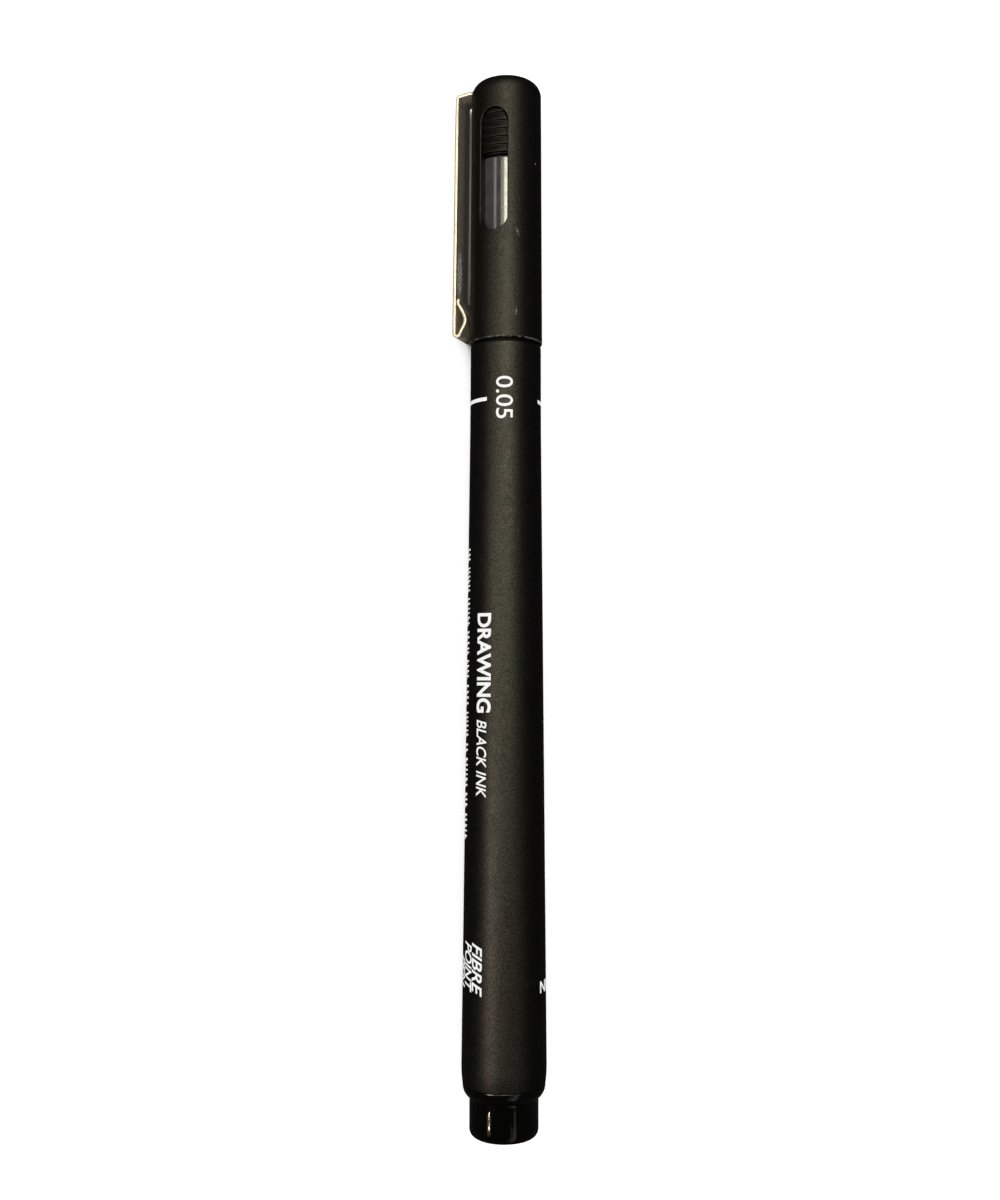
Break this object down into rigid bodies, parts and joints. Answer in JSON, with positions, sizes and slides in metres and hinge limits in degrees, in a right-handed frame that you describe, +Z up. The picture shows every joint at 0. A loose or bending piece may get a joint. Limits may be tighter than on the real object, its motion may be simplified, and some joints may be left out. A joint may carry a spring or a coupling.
{
  "type": "technical pen",
  "caption": "Black capped fineliner drawing pen lying on its side, with a fibre ink reservoir, a fine sleeved nib, windows in the cap and a steel spring clip.",
  "frame": {"origin": "the point on the surface that the pen lies on, below the middle of its bounding box", "axes": "+Y along the pen from tail to cap, +Z up as the pen lies, the clip towards -X and below the horizontal"},
  "size_m": [0.0128, 0.14, 0.0108],
  "materials": {
    "barrel_black": "satin moulded plastic with a fine sprayed grain",
    "cap_black": "satin moulded plastic with a fine sprayed grain and light scuffs",
    "plug_black": "polished black plastic",
    "grip_black": "fine moulded plastic",
    "inner_cap_grey": "polished dark grey plastic",
    "holder_black": "satin moulded plastic",
    "clip_steel": "bright rolled spring steel with fine lengthwise lines",
    "sleeve_steel": "drawn stainless tube",
    "nib_fibre": "ink-black bonded fibre",
    "wick_fibre": "bonded polyester fibre",
    "clear_film": "thin wrapped film",
    "print_white": "pad-printed white ink"
  },
  "bodies": {
    "barrel": {"barrel": "barrel_black", "tail_plug": "plug_black", "grip_section": "grip_black", "nib_holder": "grip_black", "nib_sleeve": "sleeve_steel", "nib": "nib_fibre", "feed_wick": "wick_fibre", "ink_reservoir": "wick_fibre", "reservoir_film": "clear_film"},
    "cap": {"cap_shell": "cap_black", "inner_cap": "inner_cap_grey", "clip_holder": "holder_black", "clip_root": "clip_steel"},
    "clip": {"clip_arm": "clip_steel"}
  },
  "joints": [
    {"name": "cap_pull", "type": "slide", "parent": "barrel", "child": "cap", "axis": [0, 1, 0], "range_m": [0, 0.04]},
    {"name": "clip_flex", "type": "hinge", "parent": "cap", "child": "clip", "pos_m": [-0.00468, 0.06804, 0.00268], "axis": [0.4313, 0, -0.9022], "range_deg": [0, 5], "stiffness_Nm_per_rad": 3, "springref_deg": -0.86}
  ]
}
